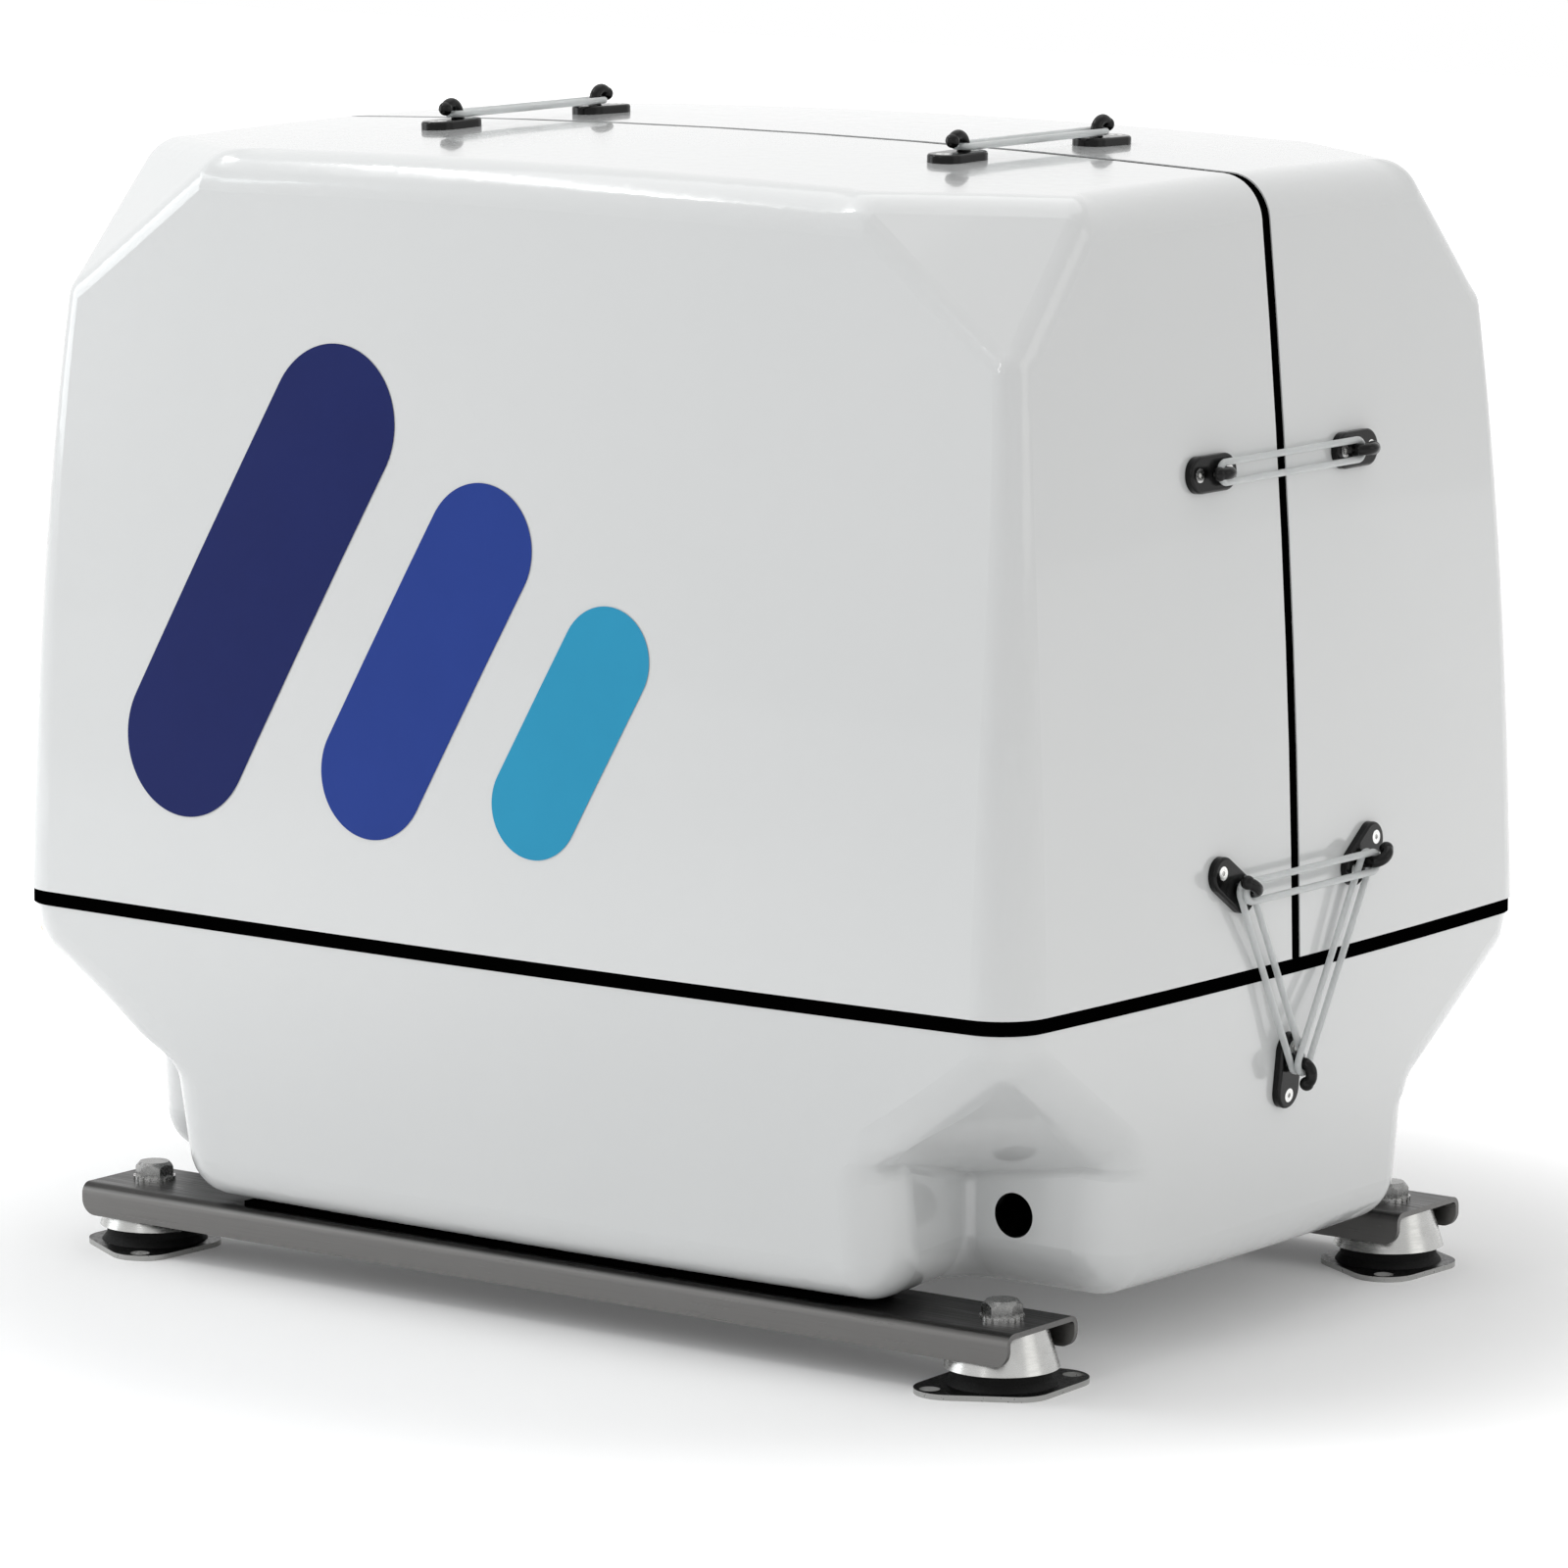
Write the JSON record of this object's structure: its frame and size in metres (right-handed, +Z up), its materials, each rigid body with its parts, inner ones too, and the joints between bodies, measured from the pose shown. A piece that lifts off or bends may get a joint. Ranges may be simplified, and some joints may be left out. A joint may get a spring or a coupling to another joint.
{
  "type": "sound-insulated marine generator set in a capsule",
  "caption": "Marine diesel generator in a sound-insulated white capsule: split upper cover held by elastic bands on hooks, notched base tray on channel rails with rubber vibration mounts.",
  "frame": {"origin": "on the floor under the middle of the capsule, at the bottom face of the mount plates", "axes": "+X along the capsule and its rails, -Y towards the decorated front side, +Z up"},
  "size_m": [0.7396, 0.5208, 0.6484],
  "materials": {
    "white_grp": "glossy gelcoat",
    "sound_foam": "matt open foam",
    "seal_rubber": "matt black seal",
    "black_plastic": "glossy",
    "steel_screws": "bright zinc",
    "clear_band": "clear elastic",
    "rail_steel": "brushed stainless",
    "black_rubber": "matt",
    "barb_metal": "polished",
    "engine_paint": "satin light grey paint",
    "engine_casting": "cast",
    "engine_black": "satin black paint",
    "alternator_paint": "satin grey paint",
    "pulley_steel": "turned"
  },
  "bodies": {
    "base": {"base_tray": "white_grp", "floor_foam": "sound_foam", "tray_gasket": "seal_rubber", "base_hooks": "black_plastic", "oil_cap": "black_plastic", "control_lid": "black_plastic", "base_hook_screws": "steel_screws", "mount_bolts": "steel_screws", "mount_washers": "steel_screws", "tray_bolts": "steel_screws", "tray_nuts": "steel_screws", "housing_bolts": "steel_screws", "front_lower_bands": "clear_band", "rear_lower_bands": "clear_band", "front_rail": "rail_steel", "rear_rail": "rail_steel", "mount_plates": "rail_steel", "mount_caps": "rail_steel", "bearers": "rail_steel", "rail_pads": "black_rubber", "mount_rubbers": "black_rubber", "isolators": "black_rubber", "drive_belt": "black_rubber", "hose_barb": "barb_metal", "engine_block": "engine_paint", "oil_pan": "engine_paint", "timing_cover": "engine_paint", "cylinder_head": "engine_paint", "engine_feet": "engine_paint", "alternator_feet": "engine_paint", "flywheel_housing": "engine_paint", "seawater_pump": "engine_paint", "lifting_eye": "engine_paint", "control_bracket": "engine_paint", "heat_exchanger": "engine_casting", "exchanger_cap": "engine_casting", "mixing_elbow": "engine_casting", "end_bell": "engine_casting", "injection_pump": "engine_casting", "fuel_filter": "engine_casting", "rocker_cover": "engine_black", "air_silencer": "engine_black", "starter_motor": "engine_black", "oil_filter": "engine_black", "control_box": "engine_black", "alternator": "alternator_paint", "injectors": "pulley_steel", "dipstick": "pulley_steel"},
    "front_cover_body": {"front_cover": "white_grp", "front_foam": "sound_foam", "front_hooks": "black_plastic", "front_hook_screws": "steel_screws"},
    "rear_cover_body": {"rear_cover": "white_grp", "rear_foam": "sound_foam", "rear_hooks": "black_plastic", "rear_hook_screws": "steel_screws", "middle_seal": "seal_rubber", "cross_bands": "clear_band"},
    "crank_pulley_body": {"crank_pulley": "pulley_steel"},
    "pump_pulley_body": {"pump_pulley": "pulley_steel"}
  },
  "joints": [
    {"name": "front_cover_lift", "type": "slide", "parent": "base", "child": "front_cover_body", "axis": [0, 0, 1], "range_m": [0, 0.45], "deforming": ["front_lower_bands", "cross_bands"]},
    {"name": "rear_cover_lift", "type": "slide", "parent": "base", "child": "rear_cover_body", "axis": [0, 0, 1], "range_m": [0, 0.45], "deforming": ["rear_lower_bands"]},
    {"name": "crank_pulley_spin", "type": "hinge", "parent": "base", "child": "crank_pulley_body", "pos_m": [-0.277, 0, 0.205], "axis": [1, 0, 0], "continuous": true},
    {"name": "pump_pulley_spin", "type": "hinge", "parent": "base", "child": "pump_pulley_body", "pos_m": [-0.277, -0.128, 0.262], "axis": [1, 0, 0], "continuous": true}
  ],
  "couplings": [
    {"joint": "pump_pulley_spin", "follows": "crank_pulley_spin", "ratio": 1.5326}
  ]
}
